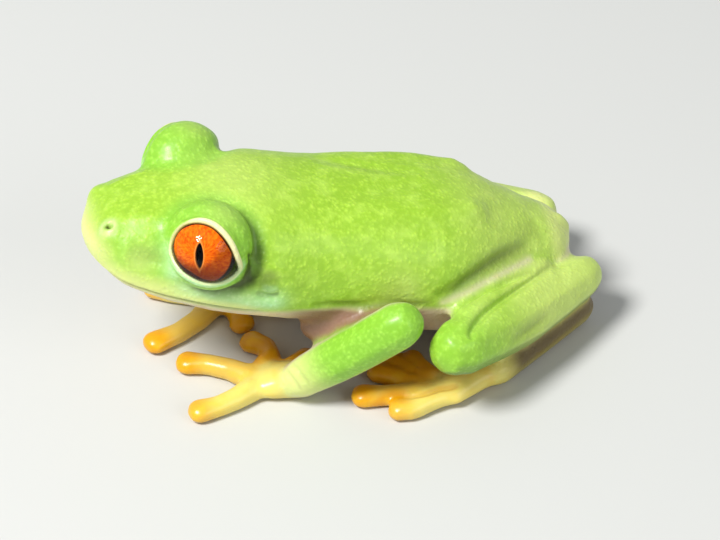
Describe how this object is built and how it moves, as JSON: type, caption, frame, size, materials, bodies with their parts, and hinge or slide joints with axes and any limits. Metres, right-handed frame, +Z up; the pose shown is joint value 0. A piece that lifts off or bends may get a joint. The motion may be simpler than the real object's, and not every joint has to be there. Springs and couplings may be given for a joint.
{
  "type": "red-eyed tree frog",
  "caption": "Young tree frog, life size, sitting with head raised and hind legs folded, with bulging side-facing eyes and round-tipped fingers and toes.",
  "frame": {"origin": "middle of the footprint, on the floor that the hands and feet rest on", "axes": "-X the way the frog faces, -Y its left side, +Z up"},
  "size_m": [0.0334, 0.0214, 0.0153],
  "materials": {
    "green_skin": "bright yellow-green moist skin with a fine grain, satin",
    "yellow_skin": "smooth golden yellow moist skin, half gloss",
    "pale_skin": "cream skin of the throat and belly, satin",
    "iris": "orange-red iris with fine dark veins, wet",
    "cornea": "clear and wet"
  },
  "bodies": {
    "root": {"head": "green_skin", "lower_jaw": "pale_skin", "trunk": "green_skin", "eye_left": "iris", "upper_arm_left": "green_skin", "forearm_left": "green_skin", "thigh_left": "green_skin", "shank_left": "green_skin", "hand_left": "yellow_skin", "tarsus_left": "yellow_skin", "foot_left": "yellow_skin", "finger_1_left": "yellow_skin", "finger_2_left": "yellow_skin", "finger_3_left": "yellow_skin", "finger_4_left": "yellow_skin", "toe_1_left": "yellow_skin", "toe_2_left": "yellow_skin", "toe_3_left": "yellow_skin", "toe_4_left": "yellow_skin", "toe_5_left": "yellow_skin", "eye_right": "iris", "upper_arm_right": "green_skin", "forearm_right": "green_skin", "thigh_right": "green_skin", "shank_right": "green_skin", "hand_right": "yellow_skin", "tarsus_right": "yellow_skin", "foot_right": "yellow_skin", "finger_1_right": "yellow_skin", "finger_2_right": "yellow_skin", "finger_3_right": "yellow_skin", "finger_4_right": "yellow_skin", "toe_1_right": "yellow_skin", "toe_2_right": "yellow_skin", "toe_3_right": "yellow_skin", "toe_4_right": "yellow_skin", "toe_5_right": "yellow_skin"}
  },
  "joints": []
}
